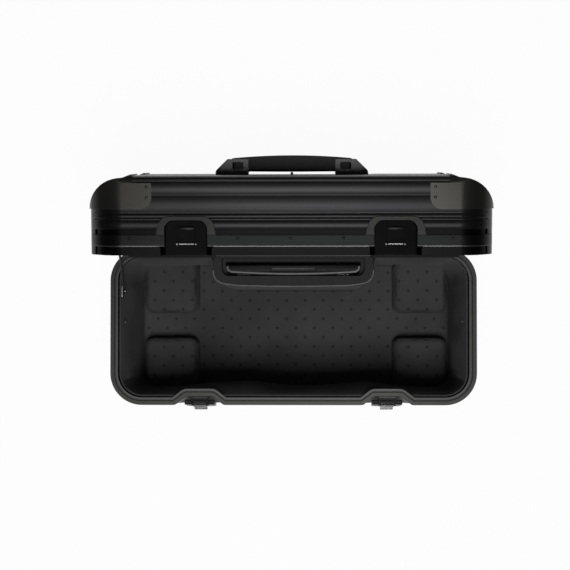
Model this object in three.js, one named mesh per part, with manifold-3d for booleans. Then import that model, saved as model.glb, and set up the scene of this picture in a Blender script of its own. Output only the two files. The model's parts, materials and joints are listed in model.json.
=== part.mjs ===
// Top-opening aluminium attache case on four casters, with a telescopic
// handle at the back, a lift handle on the lid and two draw latches.
// Millimetres, +Z up, the latches face -Y, the floor is z = 0.
import * as THREE from 'three';
import { mergeVertices } from 'three/addons/utils/BufferGeometryUtils.js';
import Module from 'manifold-3d';

// ---------------------------------------------------------------- sizes
// Case box
const WIDTH = 450;            // outside, left to right
const DEPTH = 192;            // outside, front to back
const CORNER_R = 39;          // plan corners
const INNER_DEPTH = 266;      // rim down to the lined floor
const UNDERSIDE_Z = 18;       // floor to the case bottom
const BOTTOM_EDGE_R = 10;     // rounded lower edge of the base shell
const SHELL_T = 2.4;          // aluminium skin
const LINING_T = 2;           // lining on its board
const FRAME_W = 9.5;          // rim frame, outside to inside
const BASE_FRAME_H = 18;
const LID_FRAME_H = 22.5;
const GAP = 0.3;              // between pieces that touch
const RIB_W = 1.3;            // width and depth of the grooves between ribs
const RIB_D = 0.9;
const BASE_RIBS = [70, 135, 200]; // groove heights above the underside

// Lid
const LID_HEIGHT = 88;
const LID_SHOULDER_DROP = 3.8;  // the ribbed top stands above the corners
const LID_SHOULDER_W = 9;
const LID_SIDE_R = 39;          // left and right upper edges
const LID_FRONT_R = 8;          // front and back upper edges
const LID_OPEN = 84;            // degrees, as it rests on its stop
const LID_RIBS = [39.2, 46.6, 66.1, 81.6]; // groove heights above the rim
const LIP_H = 10;               // lower, set-back band of the lid frame
const LIP_IN = 1.2;
const SKIRT_H = 6;              // set-back foot of the lid shell
const SKIRT_IN = 1.4;
const TOP_RIBS = 7;
const TOP_RIB_PITCH = 24;

// Corner caps on the lid
const CAP_T = 1.4;
const CAP_IN = 72;            // from the side of the case
const CAP_Z = 51;             // lower edge above the rim
const CAP_BACK = 58;          // from the front or back face
const CAP_R = 13;

// Hinges
const BARREL_R = 3.5;
const PIN_R = 1.8;
const PIN_PLAY = 0.3;
const HINGE_OFFSET = 4;       // barrel centre behind the back face
const HINGE_X = 138;
const HINGE_LEN = 56;
const LEAF_T = 2;
const LEAF_H = 15;

// Latches
const LATCH_X = 115.5;
const POCKET_D = 10.7;        // depth of the notch
const POCKET_W = 32;          // its flat
const POCKET_FLARE = 14;      // each side, at the face
const POCKET_DROP = 58;       // how far it runs down the base
const NOTCH_R = 5;            // rounding of the rim at a notch
const RECESS_W = 47;          // straight recess in the lid
const RECESS_TOP = 39;
const LEVER_W = 37;
const LEVER_T = 4.6;
const LEVER_LEN = 43;
const LEVER_PIVOT_Z = -9;     // from the rim
const LEVER_PIVOT_IN = 2.6;   // behind the front face
const LEVER_OPEN = 172;       // degrees from closed
const HOOK_W = 16;
const HOOK_T = 2.2;
const BEZEL_W_LOW = 67;
const BEZEL_W_TOP = 52;
const BEZEL_T = 1.6;
const KEEPER_W = 19;

// Telescopic handle
const PLATE_W = 197;
const PLATE_IN = 46;          // from the back face
const PLATE_T = 3;
const PLATE_DROP = 2;         // plate top below the rim
const TRAY_W = 176;
const TRAY_DEEP = 15;
const GRIP_W = 166;
const GRIP_D = 13.6;
const GRIP_H = 12;
const GRIP_FRONT_IN = 31.4;   // grip front from the back face
const TUBE_X = 62;
const TUBE_OUTER = [20, 15];
const TUBE_WALL = 1.1;
const TUBE_PLAY = 0.35;
const BUTTON_W = 56;
const BUTTON_D = 7;
const BUTTON_TRAVEL = 2.5;

// Carry handle on the lid
const HANDLE_BASE_W = 177;
const HANDLE_D = 24;
const HANDLE_INLAY = 1.1;     // its plate is let into the lid top
const BRACKET_H = 17.8;
const BRACKET_OUT = 74;
const BRACKET_IN = 50;
const WINDOW = [12.4, 7.9];
const GRIP_TOP = 22;
const GRIP_END_TOP = 18.6;
const GRIP_BELLY = 2.4;       // its underside dips to half way below its ends

// Lid stay
const STAY_PIVOT_Y = 52;      // from the back face
const STAY_PIVOT_Z = -12;
const STAY_LEN = 90.4;
const STAY_W = 8;
const STAY_T = 1.5;
const STAY_REST = 44.3;       // degrees above level, pointing back
const TRACK_Z = 14;

// Casters
const CASTER_X = 171;
const CASTER_Y = 53;
const WELL_R = 33;
const WELL_T = 2;
const WELL_H = 42;
const WELL_TOP_T = 6;
const FLANGE_R = 37;
const WHEEL_R = 19;
const WHEEL_W = 16;
const TYRE_T = 4.5;
const TRAIL = 9;
const AXLE_R = 2.5;
const STEM_R = 5;
const LEG_T = 3;
const WELL_SIDES = 20;
const BUMP_HALF = WELL_R + WELL_T + GAP; // lining over a well, half its side
const BUMP_R = 12;

// ------------------------------------------------------------ derived
const HW = WIDTH / 2;
const HD = DEPTH / 2;
const RIM_Z = UNDERSIDE_Z + SHELL_T + GAP + LINING_T + INNER_DEPTH;
const HINGE_Y = HD + HINGE_OFFSET;
const BASE_SHELL_TOP = RIM_Z - BASE_FRAME_H - GAP;
const LID_SHELL_Z = LID_FRAME_H + GAP * 2;
const LINING_IN = FRAME_W + GAP;
const FLOOR_Z = RIM_Z - INNER_DEPTH;
const WELL_TOP = UNDERSIDE_Z + WELL_H + WELL_TOP_T;
const LID_LINING_Z = 7;           // lower edge of the lid lining above the rim
const LID_WELL = PLATE_IN - 6;    // rear opening in the lid over the grip
const LID_WELL_W = PLATE_W - 6;

// ---------------------------------------------------------- materials
const paint = (color, roughness, metalness) => ({ color, roughness, metalness });
const ANODISED = paint(0x1c1c1d, 0.42, 0.75);
const FRAME_METAL = paint(0x2b2c2a, 0.38, 0.85);
const CAP_METAL = paint(0x24231f, 0.36, 0.8);
const BLACK_PLASTIC = paint(0x0d0d0e, 0.5, 0);
const STEEL = paint(0x8a8c8e, 0.28, 1);
const CLOTH = paint(0x141416, 0.95, 0);
const RUBBER = paint(0x101010, 0.85, 0);

// ------------------------------------------------------------ helpers
const wasm = await Module();
wasm.setup();

function solid(geometry) {
  const bare = geometry.clone();
  bare.deleteAttribute('normal');
  bare.deleteAttribute('uv');
  const merged = mergeVertices(bare, 1e-4);
  const index = merged.index.array;
  const faces = [];
  for (let i = 0; i < index.length; i += 3) {
    const [a, b, c] = [index[i], index[i + 1], index[i + 2]];
    if (a !== b && b !== c && a !== c) faces.push(a, b, c);
  }
  return new wasm.Manifold(new wasm.Mesh({
    numProp: 3,
    vertProperties: new Float32Array(merged.attributes.position.array),
    triVerts: new Uint32Array(faces),
  }));
}

function geometryOf(body) {
  const facets = body.getMesh();
  const geometry = new THREE.BufferGeometry();
  geometry.setAttribute('position', new THREE.BufferAttribute(new Float32Array(facets.vertProperties), 3));
  geometry.setIndex(new THREE.BufferAttribute(new Uint32Array(facets.triVerts), 1));
  geometry.computeVertexNormals();
  return geometry;
}

const join = (...bodies) => bodies.reduce((a, b) => a.add(b));
const cut = (body, ...tools) => tools.reduce((a, b) => a.subtract(b), body);

// Shapes extruded along each axis between two coordinates.
function alongZ(shape, z0, z1, curveSegments = 6) {
  return new THREE.ExtrudeGeometry(shape, { depth: z1 - z0, bevelEnabled: false, curveSegments })
    .translate(0, 0, z0);
}

function alongY(shape, y0, y1, curveSegments = 6) {   // shape drawn in X, Z
  return new THREE.ExtrudeGeometry(shape, { depth: y1 - y0, bevelEnabled: false, curveSegments })
    .rotateX(Math.PI / 2).translate(0, y1, 0);
}

const YZX = new THREE.Matrix4().makeBasis(
  new THREE.Vector3(0, 1, 0), new THREE.Vector3(0, 0, 1), new THREE.Vector3(1, 0, 0));

function alongX(shape, x0, x1, curveSegments = 6) {   // shape drawn in Y, Z
  return new THREE.ExtrudeGeometry(shape, { depth: x1 - x0, bevelEnabled: false, curveSegments })
    .applyMatrix4(YZX).translate(x0, 0, 0);
}

function block(x0, x1, y0, y1, z0, z1) {
  return solid(new THREE.BoxGeometry(Math.abs(x1 - x0), y1 - y0, z1 - z0)
    .translate((x0 + x1) / 2, (y0 + y1) / 2, (z0 + z1) / 2));
}

const AXIS_TURN = { x: ['rotateZ', Math.PI / 2], y: ['rotateX', 0], z: ['rotateX', Math.PI / 2] };

function rod(axis, radius, from, to, at, sides = 14) {
  const [turn, angle] = AXIS_TURN[axis];
  const geometry = new THREE.CylinderGeometry(radius, radius, to - from, sides)[turn](angle);
  const middle = (from + to) / 2;
  const place = { x: [middle, at[0], at[1]], y: [at[0], middle, at[1]], z: [at[0], at[1], middle] };
  return solid(geometry.translate(...place[axis]));
}

function polygon(points) {
  return new THREE.Shape(points.map(([x, y]) => new THREE.Vector2(x, y)));
}

// Rectangle x0..x1, y0..y1 with its own radius at each corner, from the
// lower left and counter-clockwise.
function roundedBox(x0, x1, y0, y1, r) {
  const [a, b, c, d] = Array.isArray(r) ? r : [r, r, r, r];
  const shape = new THREE.Shape();
  shape.moveTo(x0 + a, y0).lineTo(x1 - b, y0);
  if (b) shape.absarc(x1 - b, y0 + b, b, -Math.PI / 2, 0, false);
  shape.lineTo(x1, y1 - c);
  if (c) shape.absarc(x1 - c, y1 - c, c, 0, Math.PI / 2, false);
  shape.lineTo(x0 + d, y1);
  if (d) shape.absarc(x0 + d, y1 - d, d, Math.PI / 2, Math.PI, false);
  shape.lineTo(x0, y0 + a);
  if (a) shape.absarc(x0 + a, y0 + a, a, Math.PI, Math.PI * 1.5, false);
  return shape;
}

// The case's plan outline, grown outwards.
const plan = (grow) => roundedBox(-HW - grow, HW + grow, -HD - grow, HD + grow, CORNER_R + grow);
const planSlab = (grow, z0, z1, arc = grow < -2 ? 5 : 6) => solid(alongZ(plan(grow), z0, z1, arc));
const ring = (outer, inner, z0, z1) => cut(planSlab(outer, z0, z1, outer > 0 ? 1 : 6), planSlab(inner, z0 - 1, z1 + 1));

const group = new THREE.Group();
const root = new THREE.Group();
const lid = new THREE.Group();
lid.position.set(0, HINGE_Y, RIM_Z);
lid.rotation.x = THREE.MathUtils.degToRad(-LID_OPEN);
const lidFrame = new THREE.Group();    // closed-lid coordinates, z from the rim
lidFrame.position.set(0, -HINGE_Y, 0);
lid.add(lidFrame);
group.add(root, lid);

function mesh(parent, name, body, look) {
  const part = new THREE.Mesh(geometryOf(body), new THREE.MeshStandardMaterial(look));
  part.name = name;
  parent.add(part);
  return part;
}

const SIDES = [['left', -1], ['right', 1]];

// ------------------------------------------------- latch notch cutters
// Tapered pocket that runs down from the rim: narrow at the back.
function pocket(x, grow, zTop) {
  const half = POCKET_W / 2 + grow;
  const shape = roundedBox(-half, half, -POCKET_DROP + POCKET_FLARE - grow, zTop, [half * 0.6, half * 0.6, 0, 0]);
  const geometry = new THREE.ExtrudeGeometry(shape, {
    depth: 20, bevelThickness: POCKET_D, bevelSize: POCKET_FLARE, bevelSegments: 1, curveSegments: 3,
  });
  return solid(geometry.rotateX(Math.PI / 2).translate(x, -HD + grow, RIM_Z));
}

// Trapezoid notch through a band of the lid frame.
function notchPoints(x, grow = 0) {
  const half = POCKET_W / 2 + grow;
  const lip = half + POCKET_FLARE * (1 + 4 / POCKET_D);
  const back = -HD + POCKET_D + grow;
  return [[x - lip, -HD - 4], [x + lip, -HD - 4], [x + half, back], [x - half, back]];
}
const notch = (x, grow, z0, z1) => solid(alongZ(polygon(notchPoints(x, grow)), z0, z1));

const pockets = (grow, zTop) => join(...SIDES.map(([, s]) => pocket(s * LATCH_X, grow, zTop)));
const notches = (grow, z0, z1) => join(...SIDES.map(([, s]) => notch(s * LATCH_X, grow, z0, z1)));
const recesses = (grow, z0, z1) => join(...SIDES.map(([, s]) => solid(alongY(
  roundedBox(s * LATCH_X - RECESS_W / 2 - grow, s * LATCH_X + RECESS_W / 2 + grow, z0, z1,
    [0, 0, 10 + grow, 10 + grow]), -HD - 4, -HD + POCKET_D + grow))));

// ---------------------------------------------------------- base shell
// Case bottom in section: rounded lower edges, across and front to back.
function baseBody(grow, zTop) {
  const z0 = UNDERSIDE_Z - grow;
  const r = Math.max(BOTTOM_EDGE_R + grow, 0);
  const across = roundedBox(-HW - grow, HW + grow, z0, zTop, [r, r, 0, 0]);
  const through = roundedBox(-HD - grow, HD + grow, z0, zTop, [r, r, 0, 0]);
  return planSlab(grow, z0, zTop)
    .intersect(solid(alongY(across, -DEPTH, DEPTH, 2)))
    .intersect(solid(alongX(through, -WIDTH, WIDTH, 2)));
}

const casterSpots = [
  ['front_left', -1, -1], ['front_right', 1, -1], ['rear_left', -1, 1], ['rear_right', 1, 1],
].map(([name, sx, sy]) => [name, sx * CASTER_X, sy * CASTER_Y]);

function makeBaseShell() {
  const inner = baseBody(-SHELL_T, BASE_SHELL_TOP + 1);
  const walls = cut(baseBody(0, BASE_SHELL_TOP), inner);
  const cups = pockets(SHELL_T, 0).intersect(baseBody(0, BASE_SHELL_TOP));
  let body = cut(join(walls, cups), pockets(0, 2));
  for (const height of BASE_RIBS) {
    const z = UNDERSIDE_Z + height;
    body = body.subtract(ring(2, -RIB_D, z, z + RIB_W));
  }
  for (const [, x, y] of casterSpots) {
    body = body.subtract(rod('z', WELL_R + WELL_T + GAP, 0, UNDERSIDE_Z + 6, [x, y], WELL_SIDES));
  }
  mesh(root, 'base_shell', body, ANODISED);
}

// ---------------------------------------------------------- base frame
// Rim extrusion with a groove and an inner bead; runs in around the notches.
// Outline of the rim, with a rounded notch for each latch.
function rimOutline() {
  const points = (shape, arc) => shape.getPoints(arc).map((p) => [p.x, p.y]);
  let outline = new wasm.CrossSection([points(plan(0), 8)], 'Positive');
  for (const [, s] of SIDES) outline = outline.subtract(new wasm.CrossSection([notchPoints(s * LATCH_X)], 'Positive'));
  return outline.offset(-NOTCH_R, 'Round', 2, 32).offset(2 * NOTCH_R, 'Round', 2, 32).offset(-NOTCH_R, 'Round', 2, 32)
    .simplify(0.02);
}

function makeBaseFrame() {
  const z0 = RIM_Z - BASE_FRAME_H;
  const bead = 3.2;
  const rim = rimOutline();
  const slab = (inset, low, high) => rim.offset(-inset, 'Round', 2, 48).extrude(high - low).translate(0, 0, low);
  const band = cut(slab(0, z0, RIM_Z), slab(FRAME_W, z0 - 1, RIM_Z + 1));
  const grooveIn = FRAME_W - bead;
  const groove = cut(slab(grooveIn - 1.2, RIM_Z - 2.2, RIM_Z + 2), slab(grooveIn, RIM_Z - 3, RIM_Z + 3));
  mesh(root, 'base_frame', cut(band, groove), FRAME_METAL);
}

// --------------------------------------------------------- base lining
function makeBaseLining() {
  const top = RIM_Z - 4;
  const bumps = (grow) => join(...casterSpots.map(([, x, y]) =>
    solid(alongZ(roundedBox(x - BUMP_HALF - grow, x + BUMP_HALF + grow, y - BUMP_HALF - grow,
      y + BUMP_HALF + grow, BUMP_R + grow), 0, WELL_TOP + GAP + grow, 3))));
  const column = (grow) => block(-PLATE_W / 2 - grow, PLATE_W / 2 + grow,
    HD - PLATE_IN - grow, DEPTH, 0, RIM_Z + 9);
  const clear = (grow) => join(pockets(FRAME_W + GAP + grow, 12), bumps(grow), column(GAP + grow));
  const outer = cut(planSlab(-LINING_IN, FLOOR_Z - LINING_T, top), clear(0));
  const hollow = cut(planSlab(-LINING_IN - LINING_T, FLOOR_Z, top + 5), clear(LINING_T));
  mesh(root, 'base_lining', cut(outer, hollow), CLOTH);
}

// -------------------------------------------------------------- casters
function makeCaster(name, x, y) {
  const cup = new THREE.LatheGeometry([
    [0, WELL_TOP], [WELL_R + WELL_T, WELL_TOP], [WELL_R + WELL_T, UNDERSIDE_Z - GAP],
    [FLANGE_R, UNDERSIDE_Z - GAP], [FLANGE_R, UNDERSIDE_Z - GAP - 1.6], [WELL_R, UNDERSIDE_Z - GAP - 1.6],
    [WELL_R, UNDERSIDE_Z + WELL_H], [STEM_R + GAP, UNDERSIDE_Z + WELL_H],
    [STEM_R + GAP, WELL_TOP - 1.5], [0, WELL_TOP - 1.5],
  ].reverse().map(([r, z]) => new THREE.Vector2(r, z)), WELL_SIDES).rotateX(Math.PI / 2);
  mesh(root, `wheel_housing_${name}`, solid(cup.translate(x, y, 0)), BLACK_PLASTIC);

  const half = WHEEL_W / 2;
  const legIn = half + 0.6;
  const crown = WHEEL_R * 2 + 2.5;
  const axleY = y + TRAIL;
  const plateTop = UNDERSIDE_Z + WELL_H - GAP;
  const leg = (side) => solid(alongX(polygon([
    [y - 8, plateTop - 2], [y - 3, WHEEL_R - 1], [axleY - 5.5, WHEEL_R - 5.5], [axleY + 5.5, WHEEL_R - 5.5],
    [axleY + 5.5, WHEEL_R + 4], [y + 10, plateTop - 2],
  ]), x + side * (legIn + LEG_T / 2) - LEG_T / 2, x + side * (legIn + LEG_T / 2) + LEG_T / 2));
  const fork = cut(join(
    rod('z', 14, crown, plateTop, [x, y], 16),
    rod('z', STEM_R, plateTop - 1, WELL_TOP - 1.5 - GAP, [x, y], 12),
    leg(-1), leg(1),
  ), rod('x', AXLE_R + GAP, x - 20, x + 20, [axleY, WHEEL_R], 12));
  mesh(root, `caster_fork_${name}`, fork, BLACK_PLASTIC);

  const axle = join(rod('x', AXLE_R, x - legIn - LEG_T - 0.6, x + legIn + LEG_T + 0.6, [axleY, WHEEL_R], 10),
    rod('x', AXLE_R + 1.6, x - legIn - LEG_T - 1.4, x - legIn - LEG_T - GAP, [axleY, WHEEL_R], 10),
    rod('x', AXLE_R + 1.6, x + legIn + LEG_T + GAP, x + legIn + LEG_T + 1.4, [axleY, WHEEL_R], 10));
  mesh(root, `caster_axle_${name}`, axle, STEEL);

  const lathed = (points, sides) => solid(new THREE.LatheGeometry(
    points.map(([r, h]) => new THREE.Vector2(r, h)), sides)
    .rotateZ(Math.PI / 2).translate(x, axleY, WHEEL_R));
  const bore = AXLE_R + GAP;
  const hubR = WHEEL_R - TYRE_T - GAP;
  const hub = lathed([[bore, half], [bore, -half], [7, -half], [8.5, -half + 3], [hubR - 2, -half + 3],
    [hubR, -half + 1], [hubR, half - 1], [hubR - 2, half - 3], [8.5, half - 3], [7, half], [bore, half]], 12);
  mesh(root, `wheel_hub_${name}`, hub, BLACK_PLASTIC);
  const inR = WHEEL_R - TYRE_T;
  const tyre = lathed([[inR, half - 0.6], [inR, -half + 0.6], [WHEEL_R - 1.6, -half + 0.6], [WHEEL_R, -half + 2.4],
    [WHEEL_R, half - 2.4], [WHEEL_R - 1.6, half - 0.6], [inR, half - 0.6]], 20);
  mesh(root, `wheel_tyre_${name}`, tyre, RUBBER);
}

// --------------------------------------------------- telescopic handle
const gripY0 = HD - GRIP_FRONT_IN;
const tubeY = gripY0 + GRIP_D / 2;
const plateTopZ = RIM_Z - PLATE_DROP;
const trayFloor = plateTopZ - TRAY_DEEP;
const gripZ0 = trayFloor + 1.6;
const tubeFoot = FLOOR_Z - LINING_T + 4;

function tubeShape(shrink, x, y) {
  const w = TUBE_OUTER[0] / 2 - shrink;
  const d = TUBE_OUTER[1] / 2 - shrink;
  return roundedBox(x - w, x + w, y - d, y + d, Math.max(3.5 - shrink, 1));
}

// Stage 0 is the fixed tube, 1 the middle one and 2 the inner one.
function tube(stage, x, y, z0, z1) {
  const shrink = stage * (TUBE_WALL + TUBE_PLAY);
  return cut(solid(alongZ(tubeShape(shrink, x, y), z0, z1, 2)),
    solid(alongZ(tubeShape(shrink + TUBE_WALL, x, y), z0 - 1, z1 + 1, 2)));
}

function makeTelescope() {
  const trayBack = HD - SHELL_T - GAP;
  const frontArc = new THREE.Shape();
  const y0 = HD - PLATE_IN;
  const half = PLATE_W / 2;
  frontArc.moveTo(half, trayBack).lineTo(-half, trayBack).lineTo(-half, y0 + 20);
  frontArc.bezierCurveTo(-half, y0 + 4, -half + 10, y0 + 3, -half + 34, y0 + 1.2);
  frontArc.quadraticCurveTo(0, y0 - 0.6, half - 34, y0 + 1.2);
  frontArc.bezierCurveTo(half - 10, y0 + 3, half, y0 + 4, half, y0 + 20);
  frontArc.lineTo(half, trayBack);
  const rimIn = HD - FRAME_W - GAP;
  const flange = solid(alongZ(frontArc, plateTopZ - PLATE_T, plateTopZ, 6))
    .subtract(block(-WIDTH, WIDTH, rimIn, DEPTH, 0, RIM_Z + 9));
  const trayHalf = TRAY_W / 2;
  const trayY0 = gripY0 - 2;
  const trayY1 = rimIn;
  const shell = solid(alongZ(roundedBox(-trayHalf - 2, trayHalf + 2, trayY0 - 2, trayY1, [10, 10, 0, 0]),
    trayFloor - 2, plateTopZ - 1, 5));
  const hollow = solid(alongZ(roundedBox(-trayHalf, trayHalf, trayY0, trayY1 - 2, [9, 9, 0, 0]),
    trayFloor, plateTopZ + 2, 5));
  const spine = block(-TUBE_X - 17, TUBE_X + 17, trayBack - 2, trayBack, tubeFoot, BASE_SHELL_TOP - 2);
  const sockets = SIDES.map(([, s]) => block(s * TUBE_X - 14, s * TUBE_X + 14, tubeY - 11, trayBack,
    trayFloor - 30, trayFloor - 1).intersect(block(-WIDTH, WIDTH, 0, trayBack, 0, RIM_Z)));
  const feet = SIDES.map(([, s]) => block(s * TUBE_X - 14, s * TUBE_X + 14, tubeY - 11, trayBack,
    FLOOR_Z - LINING_T + GAP, tubeFoot + 14));
  const bores = SIDES.map(([, s]) => solid(alongZ(tubeShape(-GAP, s * TUBE_X, tubeY),
    tubeFoot, RIM_Z, 2)));
  let body = join(flange, shell, spine, ...sockets, ...feet);
  body = cut(body, hollow, ...bores, frameKeepOut());
  mesh(root, 'tele_housing', body, BLACK_PLASTIC);

  const carriage = new THREE.Group();
  root.add(carriage);
  const foot = tubeFoot + GAP;
  for (const [side, s] of SIDES) {
    const x = s * TUBE_X;
    mesh(root, `tele_outer_tube_${side}`, tube(0, x, tubeY, foot, trayFloor - 1), STEEL);
    mesh(root, `tele_mid_tube_${side}`, tube(1, x, tubeY, foot + 4, trayFloor + 0.8), STEEL);
    mesh(root, `tele_inner_tube_${side}`, tube(2, x, tubeY, foot + 8, gripZ0 + 6), STEEL);
  }
  const gripShape = roundedBox(-GRIP_W / 2, GRIP_W / 2, gripY0, gripY0 + GRIP_D, [6, 6, 2, 2]);
  const profile = roundedBox(gripY0, gripY0 + GRIP_D, gripZ0, gripZ0 + GRIP_H, [2, 2, 3, 5]);
  const buttonX = BUTTON_W / 2;
  const by0 = tubeY - BUTTON_D / 2;
  const sunk = gripZ0 + GRIP_H - BUTTON_TRAVEL - 2.5;
  let grip = solid(alongZ(gripShape, gripZ0, gripZ0 + GRIP_H, 4))
    .intersect(solid(alongX(profile, -GRIP_W, GRIP_W, 2)));
  grip = cut(grip,
    solid(alongZ(roundedBox(-buttonX - GAP, buttonX + GAP, by0 - GAP, by0 + BUTTON_D + GAP, 2), sunk, RIM_Z + 9, 3)),
    ...SIDES.map(([, s]) => solid(alongZ(tubeShape(2 * (TUBE_WALL + TUBE_PLAY) - GAP, s * TUBE_X, tubeY),
      gripZ0 - 1, gripZ0 + 6 + GAP, 2))));
  mesh(root, 'tele_grip', grip, BLACK_PLASTIC);
  const button = solid(alongZ(roundedBox(-buttonX, buttonX, by0, by0 + BUTTON_D, 2),
    sunk + BUTTON_TRAVEL + GAP, gripZ0 + GRIP_H + 0.6, 3));
  mesh(root, 'tele_button', button, BLACK_PLASTIC);
}

// Room taken by the rim frame and the shell, for pieces fitted inside them.
function frameKeepOut() {
  const outside = planSlab(60, 0, RIM_Z + 20);
  const low = cut(planSlab(60, 0, RIM_Z - BASE_FRAME_H - GAP), baseBody(-SHELL_T - GAP, RIM_Z));
  const high = cut(outside, planSlab(-FRAME_W - GAP, -1, RIM_Z + 30))
    .intersect(block(-WIDTH, WIDTH, -DEPTH, DEPTH, RIM_Z - BASE_FRAME_H - GAP, RIM_Z + 9));
  return join(low, high);
}

// -------------------------------------------------------------- hinges
function makeHinges() {
  const y0 = HD + GAP;
  const third = HINGE_LEN / 3;
  for (const [side, s] of SIDES) {
    const x0 = s * HINGE_X - HINGE_LEN / 2;
    const x1 = x0 + HINGE_LEN;
    const a = x0 + third;
    const b = x1 - third;
    const relief = BARREL_R + 0.7;
    const lower = join(
      block(x0, x1, y0, y0 + LEAF_T, RIM_Z - LEAF_H, RIM_Z - relief),
      block(x0, a, y0, y0 + LEAF_T, RIM_Z - relief - 1, RIM_Z - 1),
      block(b, x1, y0, y0 + LEAF_T, RIM_Z - relief - 1, RIM_Z - 1),
      rod('x', BARREL_R, x0, a, [HINGE_Y, RIM_Z]),
      rod('x', BARREL_R, b, x1, [HINGE_Y, RIM_Z]),
      rod('x', PIN_R, a - 1, b + 1, [HINGE_Y, RIM_Z]));
    mesh(root, `hinge_base_leaf_${side}`, lower, FRAME_METAL);
    const upper = cut(join(
      block(x0, x1, y0, y0 + LEAF_T, relief, LEAF_H + 4),
      block(a + GAP, b - GAP, y0, y0 + LEAF_T, 1, relief + 1),
      rod('x', BARREL_R, a + GAP, b - GAP, [HINGE_Y, 0])),
    rod('x', PIN_R + PIN_PLAY, x0, x1, [HINGE_Y, 0]));
    mesh(lidFrame, `hinge_lid_leaf_${side}`, upper, FRAME_METAL);
  }
}

// ----------------------------------------------------------------- lid
// Lid in section across the case: round shoulders and a raised ribbed top.
function lidAcross(grow) {
  const half = HW + grow;
  const r = LID_SIDE_R + grow;
  const low = LID_HEIGHT - LID_SHOULDER_DROP + grow;
  const high = LID_HEIGHT + grow;
  const step = HW - LID_SIDE_R - 0.5;
  const shape = new THREE.Shape();
  shape.moveTo(-half, -5).lineTo(half, -5).lineTo(half, low - r);
  shape.absarc(half - r, low - r, r, 0, Math.PI / 2, false);
  shape.lineTo(step, low).lineTo(step - LID_SHOULDER_W, high).lineTo(-step + LID_SHOULDER_W, high).lineTo(-step, low);
  shape.absarc(-half + r, low - r, r, Math.PI / 2, Math.PI, false);
  return shape;
}

function lidBody(grow, z0) {
  const r = Math.max(LID_FRONT_R + grow, 0);
  const through = roundedBox(-HD - grow, HD + grow, -5, LID_HEIGHT + grow, [0, 0, r, r]);
  return planSlab(grow, z0, LID_HEIGHT + grow + 1)
    .intersect(solid(alongY(lidAcross(grow), -DEPTH, DEPTH, grow < -2 ? 3 : 6)))
    .intersect(solid(alongX(through, -WIDTH, WIDTH, grow < -2 ? 1 : 3)));
}

// Rear opening over the telescopic grip, left open at the back.
const lidWell = (grow, z0, z1) => block(-LID_WELL_W / 2 - grow, LID_WELL_W / 2 + grow,
  HD - LID_WELL - grow, DEPTH, z0, z1);

function makeLid() {
  const z0 = LID_SHELL_Z;
  const inner = cut(lidBody(-SHELL_T, z0 - 1), lidWell(SHELL_T, -9, LID_HEIGHT + 9));
  let shell = cut(lidBody(0, z0), cut(inner, recesses(SHELL_T, -9, RECESS_TOP + SHELL_T)));
  shell = cut(shell, recesses(0, -9, RECESS_TOP), lidWell(0, -9, LID_HEIGHT + 9),
    ring(2, -SKIRT_IN, z0 - 1, z0 + SKIRT_H));
  for (const z of LID_RIBS) shell = shell.subtract(ring(2, -RIB_D, z, z + RIB_W));
  for (let i = 0; i < TOP_RIBS; i++) {
    const y = (i - (TOP_RIBS - 1) / 2) * TOP_RIB_PITCH;
    shell = shell.subtract(block(-HW + 54, HW - 54, y - RIB_W / 2, y + RIB_W / 2, LID_HEIGHT - RIB_D, 99));
  }
  const seat = roundedBox(-HANDLE_BASE_W / 2 - GAP, HANDLE_BASE_W / 2 + GAP,
    -HANDLE_D / 2 - GAP, HANDLE_D / 2 + GAP, 6 + GAP);
  shell = shell.subtract(solid(alongZ(seat, LID_HEIGHT - HANDLE_INLAY - GAP, LID_HEIGHT + 9, 4)));
  mesh(lidFrame, 'lid_shell', shell, ANODISED);

  const band = ring(0, -FRAME_W, GAP, GAP + LID_FRAME_H);
  const inward = join(notches(FRAME_W, GAP, GAP + LID_FRAME_H), recesses(SHELL_T, GAP, GAP + LID_FRAME_H))
    .intersect(planSlab(0, GAP, GAP + LID_FRAME_H));
  const frame = cut(join(band, inward), notches(0, -1, LIP_H + 0.5),
    recesses(0, -1, LID_FRAME_H + 9), ring(2, -LIP_IN, -1, LIP_H), lidWell(0, -9, 99));
  mesh(lidFrame, 'lid_frame', frame, FRAME_METAL);

  const keepOut = (grow) => join(notches(FRAME_W + GAP + grow, -9, GAP * 2 + LID_FRAME_H + grow),
    recesses(SHELL_T + GAP + grow, -9, RECESS_TOP + SHELL_T + GAP + grow),
    lidWell(SHELL_T + GAP + grow, -9, 99));
  const outer = cut(lidBody(-LINING_IN, LID_LINING_Z), keepOut(0));
  const hollow = cut(lidBody(-LINING_IN - LINING_T, -4), keepOut(LINING_T));
  mesh(lidFrame, 'lid_lining', cut(outer, hollow), CLOTH);
}

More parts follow.
